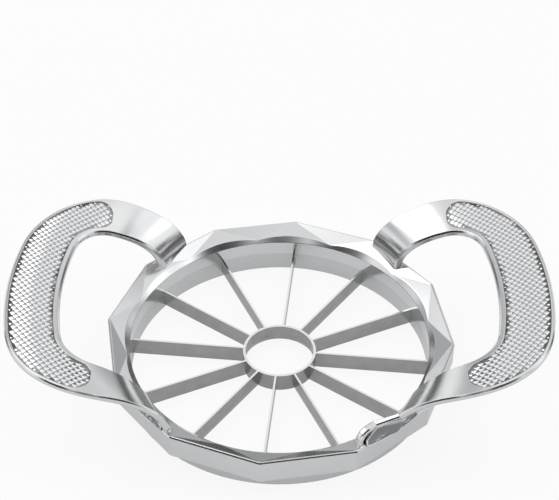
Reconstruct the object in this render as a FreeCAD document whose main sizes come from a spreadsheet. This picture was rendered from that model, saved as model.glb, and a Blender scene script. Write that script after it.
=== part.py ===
import FreeCAD, Part
import math
import os
import Sketcher
from FreeCAD import Placement, Rotation, Vector

# A two-handed apple slicer, in millimetres, standing on its skirt.
# One polished casting carries the faceted ring and both loop handles.  A star of thin
# stainless blades is cast into the skirt under the ring and meets in a thin core ring.
# The origin is the middle of the opening, on the surface that the slicer stands on.  +Z is up
# and +X runs through one of the handles.

doc = FreeCAD.newDocument("apple_slicer")

# ---------------------------------------------------------------- driving sizes
SIZES = {
    # the opening and the blade star
    "opening_diameter": 105.0,
    "slice_count": 12,
    "star_turn": -6.0,
    "blade_thickness": 0.7,
    "blade_height": 6.8,
    "blade_lift": 0.4,
    "grind_height": 2.0,
    "edge_land": 0.12,
    "core_outer_diameter": 25.8,
    "core_wall": 0.9,
    "core_slot_depth": 4.2,
    "seat_gap": 0.05,
    # how the outer ends of the blades sit in the casting
    "tab_length": 2.0,
    "tab_height": 3.4,
    "tab_lift": 1.6,
    "peg_diameter": 1.3,
    # the ring and its skirt
    "skirt_height": 7.2,
    "skirt_wall": 3.2,
    "skirt_bevel": 0.6,
    "rim_width": 6.42,
    "ring_wall_height": 9.2,
    "ring_corner_rounding": 1.6,
    "ring_edge_bevel": 0.5,
    "ring_land": 0.8,
    "funnel_depth": 3.0,
    "mouth_bevel": 0.9,
    # the surface that both faces of a handle follow
    "dish_axis_offset": 24.3,
    "dish_inset": 1.6,
    "dish_wall_height": 2.5,
    "dish_run": 37.8,
    "dish_rise": 22.3,
    "strap_thickness": 2.4,
    "strap_edge_bevel": 0.6,
    "foot_depth": 2.0,
    "foot_lean_angle": 45.0,
    "foot_lean_height": 8.0,
    # the handle seen from above
    "handle_root": 25.0,
    "handle_overhang": 33.68,
    "handle_tip_radius": 114.0,
    "handle_root_inset": 12.92,
    "handle_side_angle": 6.2,
    "handle_corner_radius": 33.5,
    "grip_width": 18.3,
    "foot_width": 9.5,
    "grip_hole_tip_radius": 109.0,
    "grip_hole_side_angle": -5.8,
    "grip_hole_corner_radius": 13.3,
    # the sunk field on each handle that the gripping scales stand in
    "field_depth": 0.35,
    "field_outer_margin": 1.4,
    "field_inner_margin": 2.0,
    "field_start": 60.5,
    "field_end_rounding": 5.0,
    # the near right foot, which sweeps along the ring's edge to its next corner
    "sweep_inset": 1.6,
    "sweep_height": 6.0,
    "sweep_rise": 2.6,
    "sweep_thickness": 2.4,
    "sweep_bend": 9.0,
    "sweep_run": 18.0,
    "sweep_bury": 0.3,
    "sweep_shoulder": 4.5,
    "sweep_edge_bevel": 0.5,
    "hollow_inset": 3.2,
    "hollow_depth": 0.8,
    "hollow_height": 4.5,
    "hollow_flare": 2.2,
    "hollow_rounding": 3.6,
}

sheet = doc.addObject("Spreadsheet::Sheet", "Sizes")
for row, (alias, value) in enumerate(SIZES.items(), start=1):
    sheet.set(f"A{row}", alias.replace("_", " "))
    sheet.set(f"B{row}", str(value))
    sheet.setAlias(f"B{row}", alias)
doc.recompute()


def value_of(expression):
    """The number that an expression on the sheet has now."""
    return float(sheet.evalExpression(expression))


SLICE_COUNT = round(value_of("Sizes.slice_count"))
SLICE_ANGLE = 360.0 / SLICE_COUNT

# Places that several pieces share, as expressions on the sheet.
OPENING_RADIUS = "Sizes.opening_diameter / 2"
CORE_RADIUS = "Sizes.core_outer_diameter / 2"
CORE_BORE_RADIUS = "Sizes.core_outer_diameter / 2 - Sizes.core_wall"
STAR_TOP = "Sizes.blade_lift + Sizes.blade_height"
GRIND_TOP = "Sizes.blade_lift + Sizes.grind_height"
SLOT_FLOOR = "Sizes.blade_lift + Sizes.blade_height - Sizes.core_slot_depth"
TAB_TOP = "Sizes.tab_lift + Sizes.tab_height"
PEG_ACROSS = "Sizes.opening_diameter / 2 + Sizes.tab_length / 2"
PEG_UP = "Sizes.tab_lift + Sizes.tab_height / 2"
RING_TOP = "Sizes.skirt_height + Sizes.ring_wall_height"
MOUTH_HEIGHT = "Sizes.skirt_height + Sizes.ring_wall_height - Sizes.funnel_depth"
RING_FLAT_RADIUS = "Sizes.opening_diameter / 2 + Sizes.rim_width"
LAND_FLAT_RADIUS = "Sizes.opening_diameter / 2 + Sizes.rim_width - Sizes.ring_land"
RING_CORNER_RADIUS = f"({RING_FLAT_RADIUS}) / cos(180 deg / Sizes.slice_count)"
FUNNEL_RADIUS = f"({LAND_FLAT_RADIUS}) / cos(180 deg / Sizes.slice_count)"
HANDLE_REACH = f"{RING_FLAT_RADIUS} + Sizes.handle_overhang"
HANDLE_ROOT_HALF = f"{RING_FLAT_RADIUS} - Sizes.handle_root_inset"
DISH_START = "Sizes.opening_diameter / 2 - Sizes.dish_inset + Sizes.dish_axis_offset"
DISH_MIDDLE = f"{DISH_START} + Sizes.dish_run"
DISH_REACH = f"Sizes.dish_axis_offset + {HANDLE_REACH} + 2"
DISH_WALL_TOP = f"{MOUTH_HEIGHT} + Sizes.dish_wall_height"
DISH_TOP = f"{DISH_WALL_TOP} + Sizes.dish_rise"
# A loop seen from above: its reach, the radius of its tip, half its width at the root, the
# slope of its sides and the radius of its corners.
HANDLE_PLAN = (HANDLE_REACH, "Sizes.handle_tip_radius", HANDLE_ROOT_HALF,
               "Sizes.handle_side_angle", "Sizes.handle_corner_radius")
GRIP_HOLE_PLAN = (f"{HANDLE_REACH} - Sizes.grip_width", "Sizes.grip_hole_tip_radius",
                  f"{HANDLE_ROOT_HALF} - Sizes.foot_width",
                  "Sizes.grip_hole_side_angle", "Sizes.grip_hole_corner_radius")
# The side of the ring that the near right foot sweeps along, seen square on.
SWEEP_TURN = "(Sizes.star_turn - 1.5 * 360 / Sizes.slice_count) * 1 deg"
SWEEP_TOP = f"{RING_TOP} + Sizes.sweep_height"
HALF_SIDE = f"({RING_FLAT_RADIUS}) * tan(180 deg / Sizes.slice_count)"


# ---------------------------------------------------------------- small helpers
def new_body(label):
    body = doc.addObject("PartDesign::Body", label)
    body.Label = label
    return body


def origin_item(body, role):
    """One of the body's own origin planes or axes."""
    return next(item for item in body.Origin.OriginFeatures if item.Role == role)


def new_sketch(body, name, plane="XY_Plane"):
    sketch = body.newObject("Sketcher::SketchObject", name)
    sketch.AttachmentSupport = [(origin_item(body, plane), "")]
    sketch.MapMode = "FlatFace"
    return sketch


def hold(sketch, *constraint):
    sketch.addConstraint(Sketcher.Constraint(*constraint))


def bind(sketch, expression, *constraint):
    """Add one dimension and tie it to the sheet."""
    index = sketch.addConstraint(Sketcher.Constraint(*constraint, value_of(expression)))
    sketch.setExpression(f"Constraints[{index}]", expression)


def pin(sketch, geometry, point, across, up):
    """Hold one point of a sketch at two expressions from the sketch's origin."""
    bind(sketch, across, "DistanceX", -1, 1, geometry, point)
    bind(sketch, up, "DistanceY", -1, 1, geometry, point)


def line(sketch, start, end):
    return sketch.addGeometry(Part.LineSegment(Vector(*start, 0), Vector(*end, 0)))


def closed_chain(sketch, points):
    """Straight lines through the points, joined end to end."""
    followers = points[1:] + points[:1]
    lines = [line(sketch, start, end) for start, end in zip(points, followers)]
    for side, follower in zip(lines, lines[1:] + lines[:1]):
        hold(sketch, "Coincident", side, 2, follower, 1)
    return lines


def rectangle(sketch, left, low, right, high):
    """A rectangle with its sides at four expressions from the sketch's axes."""
    x0, y0, x1, y1 = (value_of(place) for place in (left, low, right, high))
    sides = closed_chain(sketch, [(x0, y0), (x1, y0), (x1, y1), (x0, y1)])
    for side, direction in zip(sides, ("Horizontal", "Vertical", "Horizontal", "Vertical")):
        hold(sketch, direction, side)
    pin(sketch, sides[0], 1, left, low)
    pin(sketch, sides[2], 1, right, high)


def circle(sketch, radius, across=None, up=None):
    """A circle about the sketch's origin, or about a point at two expressions from it."""
    index = sketch.addGeometry(Part.Circle(Vector(0, 0, 0), Vector(0, 0, 1), value_of(radius)))
    bind(sketch, radius, "Radius", index)
    if across is None:
        hold(sketch, "Coincident", index, 3, -1, 1)
    else:
        pin(sketch, index, 3, across, up)


def many_sided(sketch, corner_radius):
    """The ring's outline: one straight side for each slice, with a corner on the X axis."""
    radius = value_of(corner_radius)
    turns = [math.radians(SLICE_ANGLE * i) for i in range(SLICE_COUNT)]
    sides = closed_chain(sketch, [(radius * math.cos(turn), radius * math.sin(turn)) for turn in turns])
    guide = sketch.addGeometry(Part.Circle(Vector(0, 0, 0), Vector(0, 0, 1), radius), True)
    hold(sketch, "Coincident", guide, 3, -1, 1)
    bind(sketch, corner_radius, "Radius", guide)
    for side in sides:
        hold(sketch, "PointOnObject", side, 1, guide)
    for side in sides[1:]:
        hold(sketch, "Equal", sides[0], side)
    hold(sketch, "PointOnObject", sides[0], 1, -1)


def pad(body, sketch, name, length):
    feature = body.newObject("PartDesign::Pad", name)
    feature.Profile = sketch
    feature.setExpression("Length", length)
    return feature


def pocket(body, sketch, name, width=None):
    """A cut to both sides of its sketch, right through unless a width is given."""
    feature = body.newObject("PartDesign::Pocket", name)
    feature.Profile = sketch
    feature.Midplane = True
    if width is None:
        feature.Type = "ThroughAll"
    else:
        feature.setExpression("Length", width)
    return feature


def turn_about_z(body, feature_type, sketch, name, angle=360):
    """A revolution or a groove of the sketch about its own upright axis."""
    feature = body.newObject(feature_type, name)
    feature.Profile = sketch
    feature.ReferenceAxis = (sketch, ["V_Axis"])
    feature.Midplane = True
    feature.Angle = angle
    return feature


def repeat_for_each_slice(body, feature, name):
    doc.recompute()
    pattern = body.newObject("PartDesign::PolarPattern", name)
    pattern.Originals = [feature]
    pattern.Axis = (origin_item(body, "Z_Axis"), [""])
    pattern.Angle = 360
    pattern.Occurrences = SLICE_COUNT
    body.Tip = pattern


def edge_names(shape, wanted):
    return [f"Edge{i}" for i, edge in enumerate(shape.Edges, start=1) if wanted(edge)]


def edge_feature(body, kind, name, base, wanted, size_name, amount):
    """A fillet or a chamfer on the edges that a test picks out."""
    doc.recompute()
    feature = body.newObject(kind, name)
    feature.Base = (base, edge_names(base.Shape, wanted))
    feature.setExpression(size_name, amount)
    doc.recompute()
    return feature


def is_upright(edge):
    box = edge.BoundBox
    return box.ZLength > 0.5 and max(box.XLength, box.YLength) < 1e-4


def is_level(edge):
    return edge.BoundBox.ZLength < 1e-4


def boolean(kind, label, first, second):
    feature = doc.addObject(kind, label)
    feature.Base = first
    feature.Tool = second
    return feature


def mirror(label, source, normal):
    feature = doc.addObject("Part::Mirroring", label)
    feature.Source = source
    feature.Normal = normal
    return feature


def turn_piece(thing, turn):
    """Turn a piece about the middle of the ring."""
    thing.Placement = Placement(Vector(0, 0, 0), Rotation(Vector(0, 0, 1), value_of(turn)))
    thing.setExpression(".Placement.Rotation.Angle", turn)


def turn_with_star(thing, slices=0):
    """Turn a piece with the blade star, and then on by a number of slices."""
    turn_piece(thing, f"(Sizes.star_turn + {slices} * 360 / Sizes.slice_count) * 1 deg")


# ---------------------------------------------------------------- blades
# A blade is a strip with a long ground edge underneath.  Its inner end is a tongue that fills
# a slot of the core ring, and its outer end is a holed tab that the casting closes on.
def make_blade(number):
    body = new_body(f"blade_{number:02d}")

    section = new_sketch(body, f"blade_section_{number:02d}", "YZ_Plane")
    half = value_of("Sizes.blade_thickness / 2")
    edge_half = value_of("Sizes.edge_land / 2")
    low = value_of("Sizes.blade_lift")
    grind = value_of(GRIND_TOP)
    top = value_of(STAR_TOP)
    edge, right_bevel, right, back, left, left_bevel = closed_chain(section, [
        (-edge_half, low), (edge_half, low), (half, grind), (half, top), (-half, top), (-half, grind),
    ])
    for level in (edge, back):
        hold(section, "Symmetric", level, 1, level, 2, -2)
    for upright in (right, left):
        hold(section, "Vertical", upright)
    hold(section, "Horizontal", right_bevel, 2, left, 2)
    bind(section, "Sizes.edge_land", "DistanceX", edge, 1, edge, 2)
    bind(section, "Sizes.blade_thickness", "DistanceX", back, 2, back, 1)
    bind(section, "Sizes.blade_lift", "DistanceY", -1, 1, edge, 1)
    bind(section, GRIND_TOP, "DistanceY", -1, 1, right, 1)
    bind(section, STAR_TOP, "DistanceY", -1, 1, back, 1)
    section.setExpression(".AttachmentOffset.Base.z", f"{CORE_BORE_RADIUS} + Sizes.seat_gap")
    pad(body, section, f"blade_strip_{number:02d}",
        f"{OPENING_RADIUS} + Sizes.tab_length - ({CORE_BORE_RADIUS}) - Sizes.seat_gap")

    ends = new_sketch(body, f"blade_ends_{number:02d}", "XZ_Plane")
    below = "Sizes.blade_lift - 1"
    beyond = f"{OPENING_RADIUS} + Sizes.tab_length + 1"
    shoulder = f"{OPENING_RADIUS} - Sizes.seat_gap"
    rectangle(ends, f"{CORE_BORE_RADIUS} - 1", below, f"{CORE_RADIUS} + Sizes.seat_gap", SLOT_FLOOR)
    rectangle(ends, shoulder, below, beyond, "Sizes.tab_lift")
    rectangle(ends, shoulder, TAB_TOP, beyond, f"{STAR_TOP} + 1")
    circle(ends, "Sizes.peg_diameter / 2 + Sizes.seat_gap", PEG_ACROSS, PEG_UP)
    pocket(body, ends, f"blade_trim_{number:02d}")
    turn_with_star(body, number - 1)
    return body


# ---------------------------------------------------------------- core ring
# A short tube with its lower edge ground from the inside, and slotted from above so that each
# blade's tongue drops in.
def make_core_ring():
    body = new_body("core_ring")
    wall = new_sketch(body, "core_section", "XZ_Plane")
    outer = value_of(CORE_RADIUS)
    inner = value_of(CORE_BORE_RADIUS)
    low = value_of("Sizes.blade_lift")
    top = value_of(STAR_TOP)
    edge, outside, back, inside, bevel = closed_chain(wall, [
        (outer - value_of("Sizes.edge_land"), low), (outer, low), (outer, top), (inner, top),
        (inner, value_of(GRIND_TOP)),
    ])
    for level in (edge, back):
        hold(wall, "Horizontal", level)
    for upright in (outside, inside):
        hold(wall, "Vertical", upright)
    pin(wall, outside, 1, CORE_RADIUS, "Sizes.blade_lift")
    pin(wall, inside, 1, CORE_BORE_RADIUS, STAR_TOP)
    bind(wall, "Sizes.edge_land", "DistanceX", edge, 1, edge, 2)
    bind(wall, GRIND_TOP, "DistanceY", -1, 1, bevel, 1)
    turn_about_z(body, "PartDesign::Revolution", wall, "core_tube")

    slot = new_sketch(body, "core_slot_outline", "XZ_Plane")
    rectangle(slot, f"{CORE_BORE_RADIUS} - 1", SLOT_FLOOR, f"{CORE_RADIUS} + 1", f"{STAR_TOP} + 1")
    repeat_for_each_slice(body, pocket(body, slot, "core_slot", "Sizes.blade_thickness"), "core_slots")
    turn_with_star(body)
    return body


# ---------------------------------------------------------------- ring of the casting
# The ring is a many-sided wall over a round skirt.  Closed pockets in the skirt hold the
# blades' tabs, and a peg of casting metal runs through the hole of each tab.
def make_ring_blank():
    body = new_body("ring_blank")
    outline = new_sketch(body, "ring_outline")
    many_sided(outline, RING_CORNER_RADIUS)
    outline.setExpression(".AttachmentOffset.Base.z", "Sizes.skirt_height")
    wall = pad(body, outline, "ring_wall", "Sizes.ring_wall_height")
    rounding = edge_feature(body, "PartDesign::Fillet", "ring_corners", wall, is_upright,
                            "Radius", "Sizes.ring_corner_rounding")
    edge_feature(body, "PartDesign::Chamfer", "ring_edges", rounding, is_level,
                 "Size", "Sizes.ring_edge_bevel")

    skirt_outline = new_sketch(body, "skirt_outline")
    circle(skirt_outline, f"{OPENING_RADIUS} + Sizes.skirt_wall")
    skirt = pad(body, skirt_outline, "skirt", "Sizes.skirt_height + Sizes.ring_edge_bevel")
    edge_feature(body, "PartDesign::Chamfer", "skirt_edge", skirt,
                 lambda edge: edge.BoundBox.ZMax < 1e-4, "Size", "Sizes.skirt_bevel")

    opening = new_sketch(body, "opening_outline")
    circle(opening, OPENING_RADIUS)
    pocket(body, opening, "opening")

    mouth = new_sketch(body, "mouth_section", "XZ_Plane")
    left = f"{OPENING_RADIUS} - 1"
    low = f"{MOUTH_HEIGHT} - Sizes.mouth_bevel - 1"
    rise = "Sizes.funnel_depth + Sizes.mouth_bevel + 2"
    x0, y0, span = value_of(left), value_of(low), value_of(rise)
    slope, level, upright = closed_chain(mouth, [(x0, y0), (x0 + span, y0 + span), (x0, y0 + span)])
    hold(mouth, "Horizontal", level)
    hold(mouth, "Vertical", upright)
    hold(mouth, "Equal", level, upright)
    pin(mouth, slope, 1, left, low)
    bind(mouth, rise, "DistanceY", upright, 2, upright, 1)
    turn_about_z(body, "PartDesign::Groove", mouth, "mouth")

    tab = new_sketch(body, "tab_outline", "XZ_Plane")
    rectangle(tab, f"{OPENING_RADIUS} - 1", "Sizes.tab_lift", f"{OPENING_RADIUS} + Sizes.tab_length", TAB_TOP)
    circle(tab, "Sizes.peg_diameter / 2", PEG_ACROSS, PEG_UP)
    repeat_for_each_slice(body, pocket(body, tab, "tab_pocket", "Sizes.blade_thickness"), "tab_pockets")
    turn_with_star(body)
    return body


# The gem-cut funnel.  From every corner of the ring two ridges run down to points beside the
# opening, half a slice away to either side, so the top of the ring is a belt of triangles.
def ring_of_points(radius, height, turn):
    return [
        Vector(0, 0, height) + Rotation(Vector(0, 0, 1), turn + i * SLICE_ANGLE).multVec(Vector(radius, 0, 0))
        for i in range(SLICE_COUNT)
    ]


def flat_face(*corners):
    return Part.Face(Part.makePolygon([*corners, corners[0]]))


def make_funnel():
    top = value_of(RING_TOP)
    radius = value_of(FUNNEL_RADIUS)
    turn = value_of("Sizes.star_turn")
    corners = ring_of_points(radius, top, turn)
    lid = ring_of_points(radius, top + 1, turn)
    points = ring_of_points(
        value_of(f"{OPENING_RADIUS} + Sizes.mouth_bevel"), value_of(MOUTH_HEIGHT), turn + SLICE_ANGLE / 2
    )
    faces = [flat_face(*points), flat_face(*lid)]
    for i in range(SLICE_COUNT):
        after = (i + 1) % SLICE_COUNT
        faces.append(flat_face(corners[i], corners[after], points[i]))
        faces.append(flat_face(points[i], corners[after], points[after]))
        faces.append(flat_face(corners[i], corners[after], lid[after], lid[i]))
    solid = Part.Solid(Part.Shell(faces))
    if solid.Volume < 0:
        solid.reverse()
    feature = doc.addObject("Part::Feature", "funnel")
    feature.Shape = solid
    return feature


# ---------------------------------------------------------------- handles
# Both faces of a handle lie on one dish: a quarter ellipse turned about an upright axis.  It
# leaves the ring steeply and levels out over the table.  The plan of the loop cuts the strap
# out of the dish, which gives the strap its twist where it comes down to the ring.
def quarter_ellipse(sketch, centre_height, run, rise):
    """The upper left quarter of an ellipse, with its half axes and centre tied to the sheet."""
    centre = Vector(value_of(DISH_MIDDLE), value_of(centre_height), 0)
    whole = Part.Ellipse(centre, value_of(run), value_of(rise))
    arc = sketch.addGeometry(Part.ArcOfEllipse(whole, math.pi / 2, math.pi))
    sketch.exposeInternalGeometry(arc)
    long_axis, short_axis = arc + 1, arc + 2
    hold(sketch, "Horizontal", long_axis)
    hold(sketch, "Vertical", arc, 3, arc, 1)
    hold(sketch, "Horizontal", arc, 3, arc, 2)
    bind(sketch, f"2 * ({run})", "Distance", long_axis)
    bind(sketch, f"2 * ({rise})", "Distance", short_axis)
    pin(sketch, arc, 3, DISH_MIDDLE, centre_height)
    return arc


def turn_about_dish_axis(body, section, name):
    """Half a turn about the dish's axis, which stands behind the ring as seen from the handle."""
    turn_about_z(body, "PartDesign::Revolution", section, name, 180)
    body.setExpression(".Placement.Base.x", "-Sizes.dish_axis_offset")


def make_dish():
    body = new_body("dish")
    section = new_sketch(body, "dish_section", "XZ_Plane")
    start = value_of(DISH_START)
    middle = value_of(DISH_MIDDLE)
    reach = value_of(DISH_REACH)
    thick = value_of("Sizes.strap_thickness")
    base = value_of(DISH_WALL_TOP)
    top = value_of(DISH_TOP)
    low = value_of(f"{MOUTH_HEIGHT} - Sizes.foot_depth")

    upper = quarter_ellipse(section, DISH_WALL_TOP, "Sizes.dish_run", "Sizes.dish_rise")
    lower = quarter_ellipse(section, DISH_WALL_TOP, "Sizes.dish_run - Sizes.strap_thickness",
                            "Sizes.dish_rise - Sizes.strap_thickness")

    top_flat = line(section, (middle, top), (reach, top))
    rim = line(section, (reach, top), (reach, top - thick))
    under_flat = line(section, (reach, top - thick), (middle, top - thick))
    outer_wall = line(section, (start + thick, base), (start + thick, low))
    sole = line(section, (start + thick, low), (start, low))
    inner_wall = line(section, (start, low), (start, base))
    for join in (
        (upper, 1, top_flat, 1), (top_flat, 2, rim, 1), (rim, 2, under_flat, 1),
        (under_flat, 2, lower, 1), (lower, 2, outer_wall, 1), (outer_wall, 2, sole, 1),
        (sole, 2, inner_wall, 1), (inner_wall, 2, upper, 2),
    ):
        hold(section, "Coincident", *join)
    for level in (top_flat, under_flat, sole):
        hold(section, "Horizontal", level)
    for upright in (rim, inner_wall, outer_wall):
        hold(section, "Vertical", upright)
    bind(section, DISH_REACH, "DistanceX", -1, 1, rim, 1)
    bind(section, "Sizes.dish_wall_height + Sizes.foot_depth", "DistanceY", sole, 2, inner_wall, 2)
    turn_about_dish_axis(body, section, "half_dish")
    return body


def is_tip_corner(edge):
    return is_upright(edge) and edge.BoundBox.XMin > value_of("Sizes.handle_root") + 1


def make_loop(label, plan, grown, height):
    """A block over a loop's plan, grown all round, from inside the ring to an arc at the tip."""
    reach, tip_radius, root_half, side_angle, corner_radius = plan
    reach, tip_radius, root_half, corner_radius = (
        f"({size} + ({grown}))" for size in (reach, tip_radius, root_half, corner_radius))
    body = new_body(label)
    outline = new_sketch(body, f"{label}_outline")
    root = value_of("Sizes.handle_root")
    half = value_of(root_half)
    slope = math.radians(value_of(side_angle))
    radius = value_of(tip_radius)
    centre = value_of(f"{reach} - {tip_radius}")
    # The side line meets the tip arc where a circle about the arc's centre cuts it.
    run_in = (centre - root) * math.cos(slope) - half * math.sin(slope)
    miss = (centre - root) * math.sin(slope) + half * math.cos(slope)
    along = run_in + math.sqrt(radius ** 2 - miss ** 2)
    corner_x = root + along * math.cos(slope)
    corner_y = half + along * math.sin(slope)
    swing = math.atan2(corner_y, corner_x - centre)

    inner = line(outline, (root, half), (root, -half))
    near = line(outline, (root, -half), (corner_x, -corner_y))
    far = line(outline, (corner_x, corner_y), (root, half))
    whole = Part.Circle(Vector(centre, 0, 0), Vector(0, 0, 1), radius)
    tip = outline.addGeometry(Part.ArcOfCircle(whole, -swing, swing))
    for join in ((inner, 2, near, 1), (near, 2, tip, 1), (tip, 2, far, 1), (far, 2, inner, 1)):
        hold(outline, "Coincident", *join)
    hold(outline, "Symmetric", inner, 1, inner, 2, -1)
    hold(outline, "Symmetric", tip, 1, tip, 2, -1)
    bind(outline, "Sizes.handle_root", "DistanceX", -1, 1, inner, 1)
    bind(outline, f"2 * {root_half}", "DistanceY", inner, 2, inner, 1)
    bind(outline, tip_radius, "Radius", tip)
    bind(outline, f"{reach} - {tip_radius}", "DistanceX", -1, 1, tip, 3)
    angle = outline.addConstraint(Sketcher.Constraint("Angle", near, -slope))
    outline.setExpression(f"Constraints[{angle}]", f"-{side_angle} * 1 deg")
    block = pad(body, outline, f"{label}_block", height)
    edge_feature(body, "PartDesign::Fillet", f"{label}_corners", block, is_tip_corner,
                 "Radius", corner_radius)
    return body


def make_foot_limit():
    """The room that a foot may fill: inside the ring's edge, then leaning out above it."""
    body = new_body("foot_limit")
    root = new_sketch(body, "foot_root_outline")
    many_sided(root, FUNNEL_RADIUS)
    pad(body, root, "foot_root", RING_TOP)
    lean = new_sketch(body, "foot_lean_outline")
    many_sided(lean, FUNNEL_RADIUS)
    lean.setExpression(".AttachmentOffset.Base.z", RING_TOP)
    leaning = pad(body, lean, "foot_lean", "Sizes.foot_lean_height")
    leaning.setExpression("TaperAngle", "Sizes.foot_lean_angle * 1 deg")
    turn_with_star(body)
    return body


def make_foot_trim(foot_limit):
    """What lies outside that room, up to where the strap has left the ring."""
    drum = doc.addObject("Part::Cylinder", "foot_drum")
    drum.setExpression("Radius", HANDLE_REACH)
    drum.setExpression("Height", f"{RING_TOP} + Sizes.foot_lean_height")
    return boolean("Part::Cut", "foot_trim", drum, foot_limit)


def is_sharp(shape, edge):
    """True where two faces meet at more than about 20 degrees."""
    faces = shape.ancestorsOfType(edge, Part.Face)
    if len(faces) != 2:
        return False
    middle = edge.valueAt((edge.FirstParameter + edge.LastParameter) / 2)
    first, second = (face.normalAt(*face.Surface.parameter(middle)) for face in faces)
    return abs(first.dot(second)) < 0.94


def make_strap():
    dish = make_dish()
    loop = make_loop("loop", HANDLE_PLAN, "0", f"{DISH_TOP} + 1")
    grip_hole = make_loop("grip_hole", GRIP_HOLE_PLAN, "0", f"{DISH_TOP} + 2")
    sharp = boolean("Part::Cut", "strap_sharp", boolean("Part::Common", "strap_disc", dish, loop), grip_hole)
    doc.recompute()
    bevel = value_of("Sizes.strap_edge_bevel")
    above = value_of(MOUTH_HEIGHT) + bevel
    bevelled = doc.addObject("Part::Chamfer", "strap_bevelled")
    bevelled.Base = sharp
    bevelled.Edges = [
        (i, bevel, bevel)
        for i, edge in enumerate(sharp.Shape.Edges, start=1)
        if edge.BoundBox.ZMax > above and is_sharp(sharp.Shape, edge)
    ]
    trimmed = boolean("Part::Cut", "strap_trimmed", bevelled, make_foot_trim(make_foot_limit()))
    return boolean("Part::Cut", "strap", trimmed, make_field())


# The gripping scales stand in a shallow field that is sunk into the strap's upper face.
def make_field_room():
    """The room above the field's floor, which is the dish's own curve set a little lower."""
    body = new_body("field_room")
    section = new_sketch(body, "field_section", "XZ_Plane")
    floor = f"{DISH_WALL_TOP} - Sizes.field_depth"
    lid = f"{DISH_TOP} + 1"
    start = value_of(DISH_START)
    middle = value_of(DISH_MIDDLE)
    reach = value_of(DISH_REACH)
    level = value_of(f"{floor} + Sizes.dish_rise")
    high = value_of(lid)

    curve = quarter_ellipse(section, floor, "Sizes.dish_run", "Sizes.dish_rise")
    flat = line(section, (middle, level), (reach, level))
    rim = line(section, (reach, level), (reach, high))
    cover = line(section, (reach, high), (start, high))
    wall = line(section, (start, high), (start, value_of(floor)))
    for join in ((curve, 1, flat, 1), (flat, 2, rim, 1), (rim, 2, cover, 1), (cover, 2, wall, 1),
                 (wall, 2, curve, 2)):
        hold(section, "Coincident", *join)
    for flat_line in (flat, cover):
        hold(section, "Horizontal", flat_line)
    for upright in (rim, wall):
        hold(section, "Vertical", upright)
    pin(section, rim, 2, DISH_REACH, lid)
    turn_about_dish_axis(body, section, "field_room_half")
    return body


def make_field():
    """The field: the strap's plan drawn in from both edges, ending in rounded ends."""
    outer = make_loop("field_outer", HANDLE_PLAN, "-Sizes.field_outer_margin", f"{DISH_TOP} + 2")
    inner = make_loop("field_inner", GRIP_HOLE_PLAN, "Sizes.field_inner_margin", f"{DISH_TOP} + 3")
    limit = doc.addObject("Part::Box", "field_limit")
    limit.setExpression("Length", "Sizes.field_start")
    limit.setExpression("Width", f"2 * ({HANDLE_REACH})")
    limit.setExpression("Height", f"{DISH_TOP} + 3")
    limit.setExpression(".Placement.Base.y", f"-({HANDLE_REACH})")
    band = boolean("Part::Cut", "field_band", outer, inner)
    square = boolean("Part::Cut", "field_square", band, limit)
    doc.recompute()
    start = value_of("Sizes.field_start")
    radius = value_of("Sizes.field_end_rounding")
    plan = doc.addObject("Part::Fillet", "field_plan")
    plan.Base = square
    plan.Edges = [
        (i, radius, radius)
        for i, edge in enumerate(square.Shape.Edges, start=1)
        if is_upright(edge) and abs(edge.BoundBox.XMin - start) < 1e-4
    ]
    return boolean("Part::Common", "field", plan, make_field_room())


# The near right foot lands in the middle of a side of the ring.  A wall carries its edge on
# along that side to the next corner, where it rounds off.  Under the edge the wall is hollowed.
def on_strap(radius):
    """How far out a circle about the dish's axis is at the far end of the sweep."""
    aside = f"Sizes.sweep_run - {HALF_SIDE} - Sizes.dish_axis_offset * sin({SWEEP_TURN})"
    return f"sqrt(({radius})^2 - ({aside})^2) - Sizes.dish_axis_offset * cos({SWEEP_TURN})"


def sweep_section(body, name, along, corners):
    """One section across the wall, at a distance along the ring's side from its corner."""
    sketch = new_sketch(body, name, "XZ_Plane")
    sketch.setExpression(".AttachmentOffset.Base.z", f"{HALF_SIDE} - Sizes.{along}")
    sides = closed_chain(sketch, [(value_of(across), value_of(up)) for across, up in corners])
    for side, corner in zip(sides, corners):
        pin(sketch, side, 1, *corner)
    return sketch


def wall_section(foot_left, foot_right, top_left, top_right, top):
    """A section with a level foot and top, and with its two upper corners cut off."""
    bevel = "Sizes.sweep_edge_bevel"
    return [(foot_left, MOUTH_HEIGHT), (foot_right, MOUTH_HEIGHT), (top_right, f"{top} - {bevel}"),
            (f"{top_right} - {bevel}", top), (f"{top_left} + {bevel}", top), (top_left, f"{top} - {bevel}")]


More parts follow.
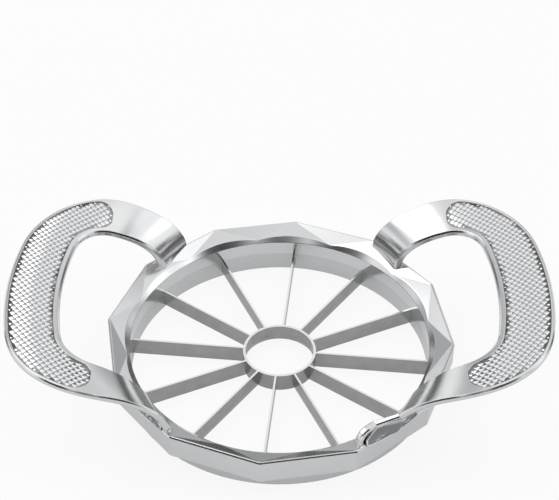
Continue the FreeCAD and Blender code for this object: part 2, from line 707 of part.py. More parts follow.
def make_sweep_wall():
    body = new_body("sweep_wall")
    inner = f"{LAND_FLAT_RADIUS} - Sizes.sweep_thickness"
    profile = new_sketch(body, "sweep_profile", "XZ_Plane")
    profile.setExpression(".AttachmentOffset.Base.z", f"{HALF_SIDE} - Sizes.sweep_bend")
    rectangle(profile, inner, MOUTH_HEIGHT, LAND_FLAT_RADIUS, SWEEP_TOP)
    wall = pad(body, profile, "sweep_block", "Sizes.sweep_bend - Sizes.sweep_inset")
    low = value_of(MOUTH_HEIGHT)
    top = value_of(SWEEP_TOP)
    first = value_of(f"Sizes.sweep_inset - {HALF_SIDE}")
    last = value_of(f"Sizes.sweep_bend - {HALF_SIDE}")
    shoulder = edge_feature(
        body, "PartDesign::Fillet", "sweep_shoulder", wall,
        lambda edge: edge.BoundBox.ZMin > top - 1e-4 and edge.BoundBox.YMax < first + 1e-4,
        "Radius", "Sizes.sweep_shoulder")
    edge_feature(
        body, "PartDesign::Chamfer", "sweep_edges", shoulder,
        lambda edge: edge.BoundBox.ZMax > low + 1e-4 and edge.BoundBox.YMin < last - 1e-4
        and edge.BoundBox.XLength < 1e-4,
        "Size", "Sizes.sweep_edge_bevel")

    root_top = f"{SWEEP_TOP} + Sizes.sweep_rise"
    rise = f"({root_top} - ({DISH_WALL_TOP})) / Sizes.dish_rise"
    top_radius = f"{DISH_MIDDLE} - Sizes.dish_run * sqrt(1 - ({rise})^2) + Sizes.sweep_bury"
    foot_radius = f"{DISH_START} + Sizes.sweep_bury"
    thick = "Sizes.strap_thickness - 2 * Sizes.sweep_bury"
    upright = wall_section(inner, LAND_FLAT_RADIUS, inner, LAND_FLAT_RADIUS, SWEEP_TOP)
    leaning = wall_section(on_strap(foot_radius), on_strap(f"{foot_radius} + {thick}"),
                           on_strap(top_radius), on_strap(f"{top_radius} + {thick}"), root_top)
    loft = body.newObject("PartDesign::AdditiveLoft", "sweep_turn_out")
    loft.Profile = sweep_section(body, "sweep_middle", "sweep_bend", upright)
    loft.Sections = [sweep_section(body, "sweep_root", "sweep_run", leaning)]
    loft.Ruled = True
    turn_piece(body, SWEEP_TURN)
    return body


def make_hollow():
    body = new_body("hollow")
    outline = new_sketch(body, "hollow_outline")
    outline.setExpression(".AttachmentOffset.Base.z", RING_TOP)
    floor = f"{LAND_FLAT_RADIUS} - Sizes.hollow_depth"
    runout = f"{LAND_FLAT_RADIUS} + Sizes.hollow_flare"
    clear = f"{runout} + 3"
    start, bend, end = (f"Sizes.{place} - {HALF_SIDE}" for place in ("hollow_inset", "sweep_bend", "sweep_run"))
    corners = [(floor, start), (clear, start), (clear, end), (runout, end), (floor, bend)]
    sides = closed_chain(outline, [(value_of(out), value_of(along)) for out, along in corners])
    for side, corner in zip(sides, corners):
        pin(outline, side, 1, *corner)
    block = pad(body, outline, "hollow_block", "Sizes.hollow_height")
    near = value_of(start)
    top = value_of(f"{RING_TOP} + Sizes.hollow_height")
    edge_feature(
        body, "PartDesign::Fillet", "hollow_end", block,
        lambda edge: edge.BoundBox.ZMin > top - 1e-4 and edge.BoundBox.YMax < near + 1e-4,
        "Radius", "Sizes.hollow_rounding")
    turn_piece(body, SWEEP_TURN)
    return body


# ---------------------------------------------------------------- the pieces
blades = [make_blade(number) for number in range(1, SLICE_COUNT + 1)]
core_ring = make_core_ring()

faceted_ring = boolean("Part::Cut", "faceted_ring", make_ring_blank(), make_funnel())

strap = make_strap()
strap_mirrored = mirror("strap_mirrored", strap, Vector(1, 0, 0))
strap_left = mirror("strap_left", strap_mirrored, Vector(0, 1, 0))
swept = boolean("Part::Fuse", "strap_swept", strap, make_sweep_wall())
strap_right = boolean("Part::Cut", "strap_right", swept, make_hollow())

frame = doc.addObject("Part::MultiFuse", "frame")
frame.Shapes = [faceted_ring, strap_right, strap_left]
frame.Refine = True
doc.recompute()

# ---------------------------------------------------------------- checks and files
for item in doc.Objects:
    if "Invalid" in item.State or "Error" in item.State:
        raise RuntimeError(f"{item.Label} failed: {item.State}")

pieces = [frame, core_ring, *blades]
os.makedirs("parts", exist_ok=True)
for piece in pieces:
    shape = piece.Shape
    if shape.isNull() or not shape.isValid() or len(shape.Solids) != 1:
        raise RuntimeError(f"{piece.Label} isn't one valid solid")
for piece in pieces:
    piece.Shape.exportStep(f"parts/{piece.Label}.step")
    box = piece.Shape.BoundBox
    print(f"{piece.Label}: {piece.Shape.Volume:.1f} mm3, "
          f"{box.XLength:.2f} x {box.YLength:.2f} x {box.ZLength:.2f} mm")
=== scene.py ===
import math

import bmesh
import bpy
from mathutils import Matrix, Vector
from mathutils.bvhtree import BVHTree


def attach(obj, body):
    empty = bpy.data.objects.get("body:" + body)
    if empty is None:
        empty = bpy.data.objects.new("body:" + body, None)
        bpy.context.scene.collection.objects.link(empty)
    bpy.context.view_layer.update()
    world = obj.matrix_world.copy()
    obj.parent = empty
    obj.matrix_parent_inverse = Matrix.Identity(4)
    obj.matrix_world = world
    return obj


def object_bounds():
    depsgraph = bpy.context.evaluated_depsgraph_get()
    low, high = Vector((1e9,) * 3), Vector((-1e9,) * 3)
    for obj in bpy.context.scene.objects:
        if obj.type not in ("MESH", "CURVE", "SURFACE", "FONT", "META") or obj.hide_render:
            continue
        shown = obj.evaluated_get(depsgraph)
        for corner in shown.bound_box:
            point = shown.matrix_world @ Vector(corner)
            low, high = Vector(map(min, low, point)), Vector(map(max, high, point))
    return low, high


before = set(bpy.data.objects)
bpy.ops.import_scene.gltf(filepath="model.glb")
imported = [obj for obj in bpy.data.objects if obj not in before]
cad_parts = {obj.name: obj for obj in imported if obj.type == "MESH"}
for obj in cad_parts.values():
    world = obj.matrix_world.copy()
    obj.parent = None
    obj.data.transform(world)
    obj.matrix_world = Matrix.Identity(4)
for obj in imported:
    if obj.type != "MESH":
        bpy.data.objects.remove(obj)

# %% [markdown]
# # A two-handed apple slicer
#
# The slicer is one bright casting and a star of thin blades.  A many-sided ring lies on a
# round skirt, two loop handles rise from it, and twelve blades run from the skirt to a small
# core ring.  The casting and the blades come ready made from the frame, at their real size,
# and this notebook gives them their finish.  What is too fine for the construction, such as
# the gripping scales on the handles, is modelled here as real mesh.
#
# The box of the construction is kept first.  Everything that follows has to stay inside it.

MM = 0.001

cad_low, cad_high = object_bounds()
size_mm = [round(side / MM, 1) for side in cad_high - cad_low]
print("construction:", len(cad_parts), "pieces,", size_mm, "mm")

# %% [markdown]
# # The camera
#
# A product picture of a flat, wide object is taken from above the rim, so that the opening
# shows.  A long lens keeps the near and the far handle about the same size.  The camera looks
# at a point a little above the table and is only tilted, so uprights stay upright.

# %% camera
CAMERA_RISE = math.radians(40.65)
CAMERA_DISTANCE = 500 * MM
LENS_PIXELS = 1425
PICTURE_WIDTH = 559
SENSOR = 36.0
AIM = Vector((0, 19.95, 36.7)) * MM


def make_camera():
    lens = bpy.data.cameras.new("camera")
    lens.sensor_width = SENSOR
    lens.lens = SENSOR * LENS_PIXELS / PICTURE_WIDTH
    camera = bpy.data.objects.new("camera", lens)
    towards = Vector((0, -math.cos(CAMERA_RISE), math.sin(CAMERA_RISE)))
    camera.location = AIM + CAMERA_DISTANCE * towards
    camera.rotation_euler = (math.pi / 2 - CAMERA_RISE, 0, 0)
    bpy.context.collection.objects.link(camera)
    bpy.context.scene.camera = camera
    return camera


camera = make_camera()
print("camera at", [round(place / MM, 1) for place in camera.location], "mm")

# %% [markdown]
# # Shader arithmetic
#
# A finish is a small network of nodes.  Most of it is arithmetic, which reads best as
# arithmetic.  `Wire` holds one output of a node and adds a Math node for each sign, and
# `Finish.node` makes every other kind of node: first its settings, then its sockets.

# %% wires and finishes
class Wire:
    def __init__(self, tree, socket):
        self.tree = tree
        self.socket = socket

    def maths(self, operation, *values):
        """A Math node on the given values, in their order."""
        node = self.tree.nodes.new("ShaderNodeMath")
        node.operation = operation
        for socket, value in zip(node.inputs, values):
            plug(self.tree, socket, value)
        return Wire(self.tree, node.outputs[0])

    def __add__(self, other):
        return self.maths("ADD", self, other)

    def __sub__(self, other):
        return self.maths("SUBTRACT", self, other)

    def __rsub__(self, other):
        return self.maths("SUBTRACT", other, self)

    def __mul__(self, other):
        return self.maths("MULTIPLY", self, other)

    __radd__ = __add__
    __rmul__ = __mul__


def plug(tree, socket, value):
    if isinstance(value, Wire):
        tree.links.new(value.socket, socket)
    else:
        socket.default_value = value


class Finish:
    """The node tree of a material or of the world, while it is built."""

    def __init__(self, owner):
        owner.use_nodes = True
        self.tree = owner.node_tree
        self.tree.nodes.clear()

    def node(self, kind, settings, sockets, output=0):
        node = self.tree.nodes.new(kind)
        for name, value in settings.items():
            setattr(node, name, value)
        for name, value in sockets.items():
            plug(self.tree, node.inputs[name], value)
        return Wire(self.tree, node.outputs[output]) if node.outputs else node

    def between(self, value, low, high):
        """How far a value is on its way from low to high, easing in and out, from 0 to 1."""
        return self.node("ShaderNodeMapRange", {"interpolation_type": "SMOOTHSTEP"},
                         {"Value": value, "From Min": low, "From Max": high})

    def blend(self, factor, first, second):
        """One colour going over into another."""
        return self.node("ShaderNodeMix", {"data_type": "RGBA"},
                         {"Factor": factor, 6: first, 7: second}, 2)

    def axes(self, vector):
        """The three parts of a vector."""
        return [self.node("ShaderNodeSeparateXYZ", {}, {"Vector": vector}, axis) for axis in "XYZ"]

    def near(self, direction, middle, outer, inner):
        """How near a direction is to the middle of a round patch, from 0 outside to 1 inside."""
        across = self.node("ShaderNodeVectorMath", {"operation": "DOT_PRODUCT"},
                           {0: direction, 1: middle}, "Value")
        return self.between(across, outer, inner)

    def noise(self, place, scale, detail):
        """Soft random clouds, finer with a larger scale."""
        return self.node("ShaderNodeTexNoise", {},
                         {"Vector": place, "Scale": scale, "Detail": detail})


print("helpers ready")

# %% [markdown]
# # The room
#
# Polished metal has hardly a colour of its own and shows the room instead, so the room is
# what gives it shape.  A white tent all round makes it pale.  Its folds give the soft bands on
# the straps, two grey panels tell the ring's facets apart, and an even pale panel overhead
# lights the near slopes of the gripping scales.  Dark openings, one in front, one at each side
# of that and a slit at the table's far edge, draw the dark lines along the edges that turn
# that way.  All of it could be built from planes and lamps, but a real tent would have to be
# staged and kept out of every view.  The world's shader does the same from the direction in
# which a ray leaves, and the camera itself sees plain white.

# %% world
DARK_OPENINGS = ((0, -0.849, 0.528), (-0.6, -0.63, 0.49), (0.6, -0.63, 0.49))
GREY_PANELS = ((0.51, 0.81, 0.29), (-0.32, 0.75, 0.58))
PALE_CEILING = (0, 0.375, 0.927)
WHITE = (1.0, 1.0, 1.0, 1)
TENT_LIGHT = (1.1, 1.1, 1.1, 1)
TENT_SHADE = (0.45, 0.455, 0.465, 1)
PANEL_GREY = (0.46, 0.464, 0.472, 1)
CEILING_LIGHT = (0.85, 0.855, 0.865, 1)
TENT_BLACK = (0.02, 0.02, 0.022, 1)
# Where one tone goes over into the next: noise values for the folds, cosines for the round
# patches, heights and depths of the ray's direction for the hem at the table's far edge.
FOLD_SCALE = 2.3
FOLD_EDGES = (0.38, 0.62)
PANEL_EDGES = (0.955, 0.985)
CEILING_EDGES = (0.94, 0.97)
OPENING_EDGES = (0.9, 0.955)
HEM_BOTTOM = (-0.05, -0.01)
HEM_TOP = (0.08, 0.19)
HEM_TURN = (-0.35, 0.05)


def make_world():
    world = bpy.data.worlds.new("tent")
    bpy.context.scene.world = world
    finish = Finish(world)
    direction = finish.node("ShaderNodeTexCoord", {}, {}, "Generated")
    folds = finish.noise(direction, FOLD_SCALE, 1)
    tent = finish.blend(finish.between(folds, *FOLD_EDGES), TENT_SHADE, TENT_LIGHT)
    for panel in GREY_PANELS:
        tent = finish.blend(finish.near(direction, panel, *PANEL_EDGES), tent, PANEL_GREY)
    away, height = finish.axes(direction)[1:]
    horizon = finish.between(height, *HEM_BOTTOM) * (1 - finish.between(height, *HEM_TOP))
    hem = finish.blend(finish.between(away, *HEM_TURN), TENT_LIGHT, TENT_BLACK)
    tent = finish.blend(horizon, tent, hem)
    overhead = finish.near(direction, PALE_CEILING, *CEILING_EDGES)
    tent = finish.blend(overhead, tent, CEILING_LIGHT)
    for opening in DARK_OPENINGS:
        tent = finish.blend(finish.near(direction, opening, *OPENING_EDGES), tent, TENT_BLACK)
    seen = finish.node("ShaderNodeLightPath", {}, {}, "Is Camera Ray")
    shown = finish.blend(seen, tent, WHITE)
    background = finish.node("ShaderNodeBackground", {}, {"Color": shown, "Strength": 1.0})
    finish.node("ShaderNodeOutputWorld", {}, {"Surface": background})


make_world()
print("tent ready")

# %% [markdown]
# # The table and the lamps
#
# The table is a wide pale sheet.  Seen straight it is nearly white.  The metal mirrors it a
# little darker close to the slicer, where the slicer keeps light off it, and white further
# out, which gives the walls a bright line along their top edge.  The sheet still takes the
# soft shadow under the skirt, because only part of its light is its own.  Two wide weak lamps
# are enough besides, as the tent gives most of the light.

# %% table and lamps
TABLE_HALF = 1.5
TABLE_COLOUR = (0.9, 0.9, 0.9, 1)
TABLE_MIRRORED = (0.74, 0.745, 0.75, 1)
TABLE_GLOW = 0.9
MIRRORED_GLOW = 0.68
TABLE_WHITENS = (105 * MM, 190 * MM)
LAMP_WIDTH = 0.9
KEY_PLACE = (-0.6, 0.25, 0.9)
KEY_WATTS = 2
FILL_PLACE = (0.7, 0.1, 0.8)
FILL_WATTS = 1.3


def make_table():
    shape = bmesh.new()
    bmesh.ops.create_grid(shape, x_segments=1, y_segments=1, size=TABLE_HALF)
    mesh = bpy.data.meshes.new("table")
    shape.to_mesh(mesh)
    shape.free()
    table = bpy.data.objects.new("table", mesh)
    bpy.context.collection.objects.link(table)
    material = bpy.data.materials.new("table_white")
    finish = Finish(material)
    paint = finish.node("ShaderNodeBsdfDiffuse", {}, {"Color": TABLE_COLOUR})
    seen = finish.node("ShaderNodeLightPath", {}, {}, "Is Camera Ray")
    mirrored = finish.node("ShaderNodeLightPath", {}, {}, "Is Glossy Ray")
    place = finish.node("ShaderNodeTexCoord", {}, {}, "Object")
    distance = finish.node("ShaderNodeVectorMath", {"operation": "LENGTH"}, {0: place}, "Value")
    metal_sees = finish.blend(finish.between(distance, *TABLE_WHITENS), TABLE_MIRRORED, TENT_LIGHT)
    colour = finish.blend(mirrored, WHITE, metal_sees)
    glow = finish.node("ShaderNodeEmission", {}, {"Color": colour, "Strength": 1.0})
    own = finish.node("ShaderNodeMixShader", {}, {
        0: seen * TABLE_GLOW + mirrored * MIRRORED_GLOW, 1: paint, 2: glow})
    finish.node("ShaderNodeOutputMaterial", {}, {"Surface": own})
    mesh.materials.append(material)


def make_lamp(name, place, watts):
    light = bpy.data.lights.new(name, "AREA")
    light.shape = "DISK"
    light.size = LAMP_WIDTH
    light.energy = watts
    lamp = bpy.data.objects.new(name, light)
    lamp.location = place
    lamp.rotation_euler = (-Vector(place)).to_track_quat("-Z", "Y").to_euler()
    bpy.context.collection.objects.link(lamp)


make_table()
make_lamp("key_lamp", KEY_PLACE, KEY_WATTS)
make_lamp("fill_lamp", FILL_PLACE, FILL_WATTS)
bpy.context.scene.view_settings.view_transform = "Standard"
print("table and lamps ready")

# %% [markdown]
# # Polished casting
#
# The casting is a zinc alloy, tumbled and polished.  It is smooth enough to mirror the room,
# but its surface rolls a little, as cast metal does, and the polish is not the same
# everywhere: it is duller underneath and on the skirt, where no wheel reaches.  There the
# colour is also painted darker, as painted shade on the faces turned down and on the skirt
# near the table.  Polishing also takes the sharpness off every edge.  The Bevel node rounds
# the edges in the shading alone, so a thin line of other reflections runs along each, and the
# shape stays as built.

# %% the casting's finish
CAST_COLOUR = (0.76, 0.765, 0.77, 1)
# The dull grey is mostly painted shade: faces turned down and the skirt near the table are painted
# darker with it, and random clouds use a little of it.
CAST_CLOUD_AND_SHADE = (0.5, 0.505, 0.51, 1)
POLISHED = 0.13
SKIRT_TOP = 7.2 * MM
SKIRT_BLEND = 0.2 * MM
SKIRT_SHADE_AND_DULLING = 0.45
UNDERSIDE = (-0.2, -0.7)
ROLL_SCALE = 45
CLOUD_SCALE = 160
GRAIN_SCALE = 2600
RELIEF_HEIGHT = 0.5 * MM
EDGE_ROUNDING = 0.4 * MM


def make_cast_finish(name, bright, dullness, rounding):
    """The casting's metal, which the scales and the skin use in other tones, with painted shade on
    faces turned down and on the skirt.
    """
    material = bpy.data.materials.new(name)
    finish = Finish(material)
    place = finish.node("ShaderNodeTexCoord", {}, {}, "Object")
    facing = finish.node("ShaderNodeNewGeometry", {}, {}, "Normal")
    up = finish.axes(facing)[2]
    height = finish.axes(place)[2]
    # Painted shade on faces turned down and on the skirt near the table; the same mask also makes
    # the polish duller there.
    low = finish.between(height, SKIRT_TOP + SKIRT_BLEND, SKIRT_TOP - SKIRT_BLEND)
    turned_down = finish.between(up, *UNDERSIDE)
    shade_and_dullness = turned_down.maths("MAXIMUM", turned_down, low * SKIRT_SHADE_AND_DULLING)
    rolling = finish.noise(place, ROLL_SCALE, 2)
    cloud = finish.noise(place, CLOUD_SCALE, 3)
    grain = finish.noise(place, GRAIN_SCALE, 2)
    # The colour here takes the painted shade, and a little random cloud.
    colour = finish.blend(shade_and_dullness * 0.6 + cloud * 0.1, bright, CAST_CLOUD_AND_SHADE)
    rough = dullness + cloud * 0.08 + shade_and_dullness * 0.22
    relief = rolling * 0.5 + grain * 0.012
    rounded = finish.node("ShaderNodeBevel", {"samples": 6}, {"Radius": rounding})
    bump = finish.node("ShaderNodeBump", {}, {
        "Strength": 0.12, "Distance": RELIEF_HEIGHT, "Height": relief, "Normal": rounded})
    metal = finish.node("ShaderNodeBsdfPrincipled", {}, {
        "Base Color": colour, "Metallic": 1.0, "Roughness": rough, "Normal": bump})
    finish.node("ShaderNodeOutputMaterial", {}, {"Surface": metal})
    return material


cast_finish = make_cast_finish("polished_casting", CAST_COLOUR, POLISHED, EDGE_ROUNDING)
print("casting finish ready")

# %% [markdown]
# # Blade steel
#
# The blades are cut from rolled stainless strip.  The rolls leave fine lines along the strip.
# An anisotropic shader could smear the reflections the same way, but it would show no lines.
# So the grain is noise stretched in one direction: fast upwards, slow along the blade.  The
# blunt upper edges are cut metal, and their colour is painted brighter than the rolled sides,
# a painted highlight on the faces turned up; the sharp edges are below.

# %% the blades' finish
# The bright steel is the cut metal of the upper edges and a painted highlight on faces turned up.
STEEL_CUT_AND_HIGHLIGHT = (0.82, 0.825, 0.83, 1)
STEEL_COLOUR = (0.5, 0.5, 0.5, 1)
STEEL_DARK = (0.3, 0.3, 0.3, 1)
ROLL_LINES = (60, 60, 9000)
STEEL_CLOUDS = 220
TOP_EDGE_HIGHLIGHT = (0.5, 0.9)
LINE_HEIGHT = 0.05 * MM


def make_blade_finish():
    material = bpy.data.materials.new("rolled_blade_steel")
    finish = Finish(material)
    place = finish.node("ShaderNodeTexCoord", {}, {}, "Object")
    stretched = finish.node("ShaderNodeVectorMath", {"operation": "MULTIPLY"},
                            {0: place, 1: ROLL_LINES})
    lines = finish.noise(stretched, 1.0, 3)
    cloud = finish.noise(place, STEEL_CLOUDS, 2)
    facing = finish.node("ShaderNodeNewGeometry", {}, {}, "Normal")
    # Faces turned up are painted bright: a painted highlight on the cut upper edges.
    top_edge_highlight = finish.between(finish.axes(facing)[2], *TOP_EDGE_HIGHLIGHT)
    rolled = finish.blend(cloud * 0.6 + lines * 0.4, STEEL_COLOUR, STEEL_DARK)
    colour = finish.blend(top_edge_highlight, rolled, STEEL_CUT_AND_HIGHLIGHT)
    rough = 0.14 + lines * 0.14
    bump = finish.node("ShaderNodeBump", {}, {
        "Strength": 0.15, "Distance": LINE_HEIGHT, "Height": lines})
    metal = finish.node("ShaderNodeBsdfPrincipled", {}, {
        "Base Color": colour, "Metallic": 1.0, "Roughness": rough, "Normal": bump})
    finish.node("ShaderNodeOutputMaterial", {}, {"Surface": metal})
    return material


blade_finish = make_blade_finish()
FINISHES = {"cast_frame": cast_finish, "blade_steel": blade_finish}
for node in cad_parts.values():
    for slot in node.material_slots:
        slot.material = FINISHES[slot.material.name]
print("finishes given to", len(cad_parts), "pieces")

# %% [markdown]
# # The floor of the gripping fields
#
# Each handle has a shallow sunk field on top, and its floor is where the scales stand.  The
# floor is found on the casting itself: it starts under a point in the middle of the grip and
# spreads over the mesh as far as the surface stays smooth, so it ends at the field's own wall.

# %% the fields' floors
GRIP_WIDTH = 18.3 * MM
SMOOTH = math.radians(20)
WELD = 0.001 * MM


def join_mesh(piece):
    """A copy of a piece's mesh in the world's frame, with its split corners joined."""
    shape = bmesh.new()
    shape.from_mesh(piece.data)
    shape.transform(piece.matrix_world)
    bmesh.ops.remove_doubles(shape, verts=shape.verts, dist=WELD)
    shape.faces.ensure_lookup_table()
    shape.normal_update()
    return shape


def spread_from(seed):
    """The faces that a smooth surface reaches from one of them."""
    reached = {seed}
    front = [seed]
    while front:
        face = front.pop()
        for edge in face.edges:
            if len(edge.link_faces) == 2 and edge.calc_face_angle(math.pi) < SMOOTH:
                for neighbour in edge.link_faces:
                    if neighbour not in reached:
                        reached.add(neighbour)
                        front.append(neighbour)
    return {face.index for face in reached}


casting = join_mesh(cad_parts["frame"])
casting_tree = BVHTree.FromBMesh(casting)
sky = cad_high.z + 1 * MM


def look_down(x, y):
    """Where a plumb line meets the casting: the place, the normal and the face's number."""
    return casting_tree.ray_cast(Vector((x, y, sky)), Vector((0, 0, -1)))[:3]


floors = {}
for side, sign in (("left", -1), ("right", 1)):
    seed = look_down(sign * (cad_high.x - GRIP_WIDTH / 2), 0)[2]
    floors[side] = spread_from(casting.faces[seed])
    area = sum(casting.faces[index].calc_area() for index in floors[side]) / MM ** 2
    print(side, "field floor:", len(floors[side]), "faces,", round(area), "mm2")

# %% [markdown]
# # The gripping scales
#
# The scales are raised lozenges in a staggered lattice, about as wide as they are long, and
# the whole lattice is a little slanted.  A bump texture could draw them, but then the exported
# mesh would have none, so they are real mesh.  The lattice runs straight over the table's
# plane and does not bend with the handle.  Every scale is a low roof: a lozenge on the floor,
# rising to a long ridge that ends just under the level of the handle's own face.  A scale that
# doesn't fit whole at the field's wall is made smaller, down to a little grain.  The scales
# stand up to the wheel, so they get the casting's finish in a glossier make, and their colour
# is painted brighter than the casting's, a painted highlight.

# %% scales
SCALE_PITCH_ACROSS = 2.4 * MM
SCALE_PITCH_ALONG = 2.6 * MM
SCALE_SLANT = math.radians(8)
SCALE_FILL = 0.9
SCALE_RISE = 0.32 * MM
RIDGE_SHARE = 0.8
SCALE_ROUNDING = 0.15 * MM
# The scales' colour is painted brighter than the casting's, a painted highlight; their gloss is
# the real polish.
SCALE_COLOUR_AND_HIGHLIGHT = (0.94, 0.945, 0.95, 1)
SCALE_GLOSS = 0.06
SCALE_SIZES = (1.0, 0.8, 0.6, 0.42)
SPARE_ROWS = 4


def scale_corners(x, y, sign, share):
    """The corners of one lozenge in plan, and the two ends of its ridge."""
    half_across = SCALE_FILL * share * SCALE_PITCH_ACROSS / 2
    half_along = SCALE_FILL * share * SCALE_PITCH_ALONG / 2
    plan = [(half_across, 0), (0, half_along), (-half_across, 0), (0, -half_along)]
    ridge = [(RIDGE_SHARE * half_across, 0), (-RIDGE_SHARE * half_across, 0)]
    lean = math.tan(SCALE_SLANT) * sign
    return [[(x + u, y + v + u * lean) for u, v in outline] for outline in (plan, ridge)]


def add_scale(shape, x, y, sign, floor):
    """Set one scale on the floor, in the largest size that stays inside the field."""
    for share in SCALE_SIZES:
        plan, ridge = scale_corners(x, y, sign, share)
        feet = [look_down(*place) for place in plan]
        if all(foot[2] in floor for foot in feet):
            break
    else:
        return False
    low = [shape.verts.new(foot[0]) for foot in feet]
    high = []
    for place in ridge:
        ground, normal = look_down(*place)[:2]
        high.append(shape.verts.new(ground + normal * SCALE_RISE * share ** 0.5))
    east, north, west, south = low
    right, left = high
    for corners in ((east, north, right), (north, left, right), (north, west, left),
                    (west, south, left), (south, right, left), (south, east, right),
                    (east, south, west, north)):
        shape.faces.new(corners)
    return True


def mesh_from(name, shape):
    mesh = bpy.data.meshes.new(name)
    shape.to_mesh(mesh)
    shape.free()
    return mesh


def add_piece(name, data, finish):
    """One more piece of the slicer, from a mesh or a curve, fixed to the casting's body."""
    data.materials.append(finish)
    piece = bpy.data.objects.new(name, data)
    bpy.context.collection.objects.link(piece)
    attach(piece, "root")
    return piece


scale_finish_with_highlight = make_cast_finish("tumbled_scales_with_highlight", SCALE_COLOUR_AND_HIGHLIGHT, SCALE_GLOSS, SCALE_ROUNDING)


def make_scales(side, sign):
    shape = bmesh.new()
    floor = floors[side]
    lean = math.tan(SCALE_SLANT) * sign
    columns = math.ceil(cad_high.x / SCALE_PITCH_ACROSS)
    rows = math.ceil(cad_high.y / SCALE_PITCH_ALONG) + SPARE_ROWS
    count = 0
    for column in range(2 * columns):
        x = sign * column * SCALE_PITCH_ACROSS / 2
        for row in range(-rows, rows):
            y = (row + column % 2 / 2) * SCALE_PITCH_ALONG + (x - sign * cad_high.x) * lean
            if look_down(x, y)[2] in floor:
                count += add_scale(shape, x, y, sign, floor)
    name = f"{side}_grip_scales"
    add_piece(name, mesh_from(name, shape), scale_finish_with_highlight)
    print(side, "scales:", count)


make_scales("left", -1)
make_scales("right", 1)

# %% [markdown]
# The skin and painted shade between the scales
#
# A wheel rides on the scales and hardly reaches the floor between them, so the floor keeps
# some of the cast's grey skin.  Its dark colour is also painted shade between the scales, and
# it gives every scale a fine dark outline.  The skin is a thin sheet of its own: the floor's
# faces once more, lifted off by a hair, with a backing that reaches into the metal.

# %% skin and painted shade
# The skin grey of the hollows is painted shade in the hollows, over the cast's grey skin.
HOLLOW_SKIN_AND_SHADE = (0.27, 0.272, 0.278, 1)
# The gap grey is painted shade between the scales, over the cast's grey skin.
GAP_SKIN_AND_SHADE = (0.34, 0.343, 0.35, 1)
SKIN_DULL = 0.3
GAP_DULL = 0.22
SKIN_LIFT = 0.04 * MM
SKIN_BACKING = 0.15 * MM
hollow_skin_and_shade_finish = make_cast_finish("skin_and_shade_in_hollows", HOLLOW_SKIN_AND_SHADE, SKIN_DULL, EDGE_ROUNDING)
gap_skin_and_shade_finish = make_cast_finish("skin_and_shade_between_scales", GAP_SKIN_AND_SHADE, GAP_DULL, EDGE_ROUNDING)


def add_sheet(name, shape, finish):
    """A thin piece with the cast's grey skin and painted shade, made of a surface and a backing
    behind it.
    """
    piece = add_piece(name, mesh_from(name, shape), finish)
    backing = piece.modifiers.new("backing", "SOLIDIFY")
    backing.thickness = SKIN_BACKING
    print(name, "has", len(piece.data.polygons), "faces")


def make_floor_skin_and_shade(side):
    shape = bmesh.new()
    corners = {}
    for index in sorted(floors[side]):
        face = casting.faces[index]
        for corner in face.verts:
            if corner.index not in corners:
                corners[corner.index] = shape.verts.new(corner.co + face.normal * SKIN_LIFT)
        shaded_skin_face = shape.faces.new([corners[corner.index] for corner in face.verts])
        shaded_skin_face.smooth = True
    add_sheet(f"{side}_grip_floor", shape, gap_skin_and_shade_finish)


make_floor_skin_and_shade("left")
make_floor_skin_and_shade("right")

# %% [markdown]
# # The hollows in the near feet
#
# Each handle's near foot sweeps along one side of the ring, and the side is hollowed there in
# the shape of a leaf: blunt at the ring's corner and pointed under the strap.  No wheel
# reaches into it, so it keeps the grey skin of the cast; its dark colour is also painted shade
# in the hollow, and a fine bright bead runs round it.  A leaf is drawn on the flat of the
# ring's side, as lengths along the side and heights over the table, and every point is then
# pushed straight in until it meets the metal or the bottom of a shallow dish, whichever comes
# first.  Cutting the leaf out of the casting with a boolean would change a piece that is
# given, so the hollow is a thin sheet on it instead.

# %% the hollows
RING_FLAT = 58.92 * MM
RING_LAND = 0.8 * MM
LEAF_STEPS = 48
LEAF_ROWS = 14
LEAF_LIFT = 0.05 * MM
LEAF_BLUNTNESS = 0.7


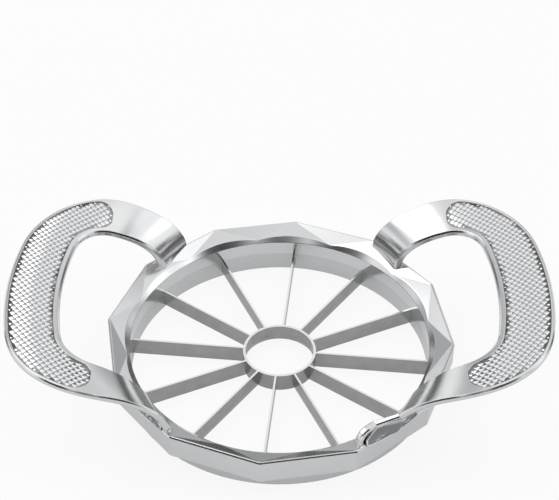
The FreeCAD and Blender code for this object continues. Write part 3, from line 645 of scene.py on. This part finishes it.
class Leaf:
    """A leaf on one side of the ring, between its blunt end and its point."""

    def __init__(self, side_angle, blunt, point, base, slope, sag, height, growth, depth, bead):
        angle = math.radians(side_angle)
        self.out = Vector((math.cos(angle), math.sin(angle), 0))
        self.along = Vector((-self.out.y, self.out.x, 0))
        self.blunt, self.point = blunt * MM, point * MM
        self.base, self.slope, self.sag = base * MM, slope * MM, sag * MM
        self.height, self.growth = height * MM, growth * MM
        self.depth, self.bead = depth * MM, bead * MM

    def edges(self, share):
        """The lower and the upper edge at a share of the leaf's length."""
        fullness = 0
        if 0 < share < 1:
            fullness = math.sin(math.pi * share ** LEAF_BLUNTNESS) ** LEAF_BLUNTNESS
        base = self.base + self.slope * share
        low = base - self.sag * math.sin(math.pi * share)
        return low, base + fullness * (self.height + self.growth * share)

    def place(self, step, row):
        """A place in the leaf: on the metal or in the dish, lifted off by a hair."""
        share = step / LEAF_STEPS
        rise = row / LEAF_ROWS
        low, high = self.edges(share)
        length = self.blunt + share * (self.point - self.blunt)
        flat = self.along * length + Vector((0, 0, low + (high - low) * rise))
        metal = casting_tree.ray_cast(flat + self.out * 1.2 * RING_FLAT, -self.out)[0]
        hollow = self.depth * math.sin(math.pi * share) * math.sin(math.pi * rise)
        dish = RING_FLAT - RING_LAND * rise - hollow
        return flat + self.out * (max(metal.dot(self.out), dish) + LEAF_LIFT)


def make_hollow(name, leaf):
    shape = bmesh.new()
    columns = [[shape.verts.new(leaf.place(step, row)) for row in range(LEAF_ROWS + 1)]
               for step in range(LEAF_STEPS + 1)]
    for left, right in zip(columns, columns[1:]):
        for row in range(LEAF_ROWS):
            corners = (left[row], right[row], right[row + 1], left[row + 1])
            shape.faces.new(corners if leaf.point > leaf.blunt else corners[::-1])
    bmesh.ops.remove_doubles(shape, verts=shape.verts, dist=WELD)
    for face in shape.faces:
        face.smooth = True
    # The sheet's dark colour is painted shade in the hollow.
    add_sheet(name, shape, hollow_skin_and_shade_finish)


def make_bead(name, leaf):
    bead = bpy.data.curves.new(name, "CURVE")
    bead.dimensions = "3D"
    bead.bevel_depth = leaf.bead
    rim = [leaf.place(step, 0) for step in range(LEAF_STEPS)]
    rim += [leaf.place(step, LEAF_ROWS) for step in range(LEAF_STEPS, 0, -1)]
    spline = bead.splines.new("POLY")
    spline.points.add(len(rim) - 1)
    for point, place in zip(spline.points, rim):
        point.co = (*place, 1)
    spline.use_cyclic_u = True
    add_piece(name, bead, cast_finish)
    print(name, "has", len(rim), "points")


right_leaf = Leaf(-51, blunt=-11.4, point=10.8, base=16.3, slope=0, sag=1.7,
                  height=4.6, growth=4.0, depth=0.9, bead=0.38)
left_leaf = Leaf(-141, blunt=11.4, point=-3.0, base=16.2, slope=-1.6, sag=0.6,
                 height=4.8, growth=0, depth=0.9, bead=0.3)
make_hollow("foot_hollow", right_leaf)
make_bead("foot_hollow_bead", right_leaf)
make_hollow("left_foot_hollow", left_leaf)
make_bead("left_foot_hollow_bead", left_leaf)
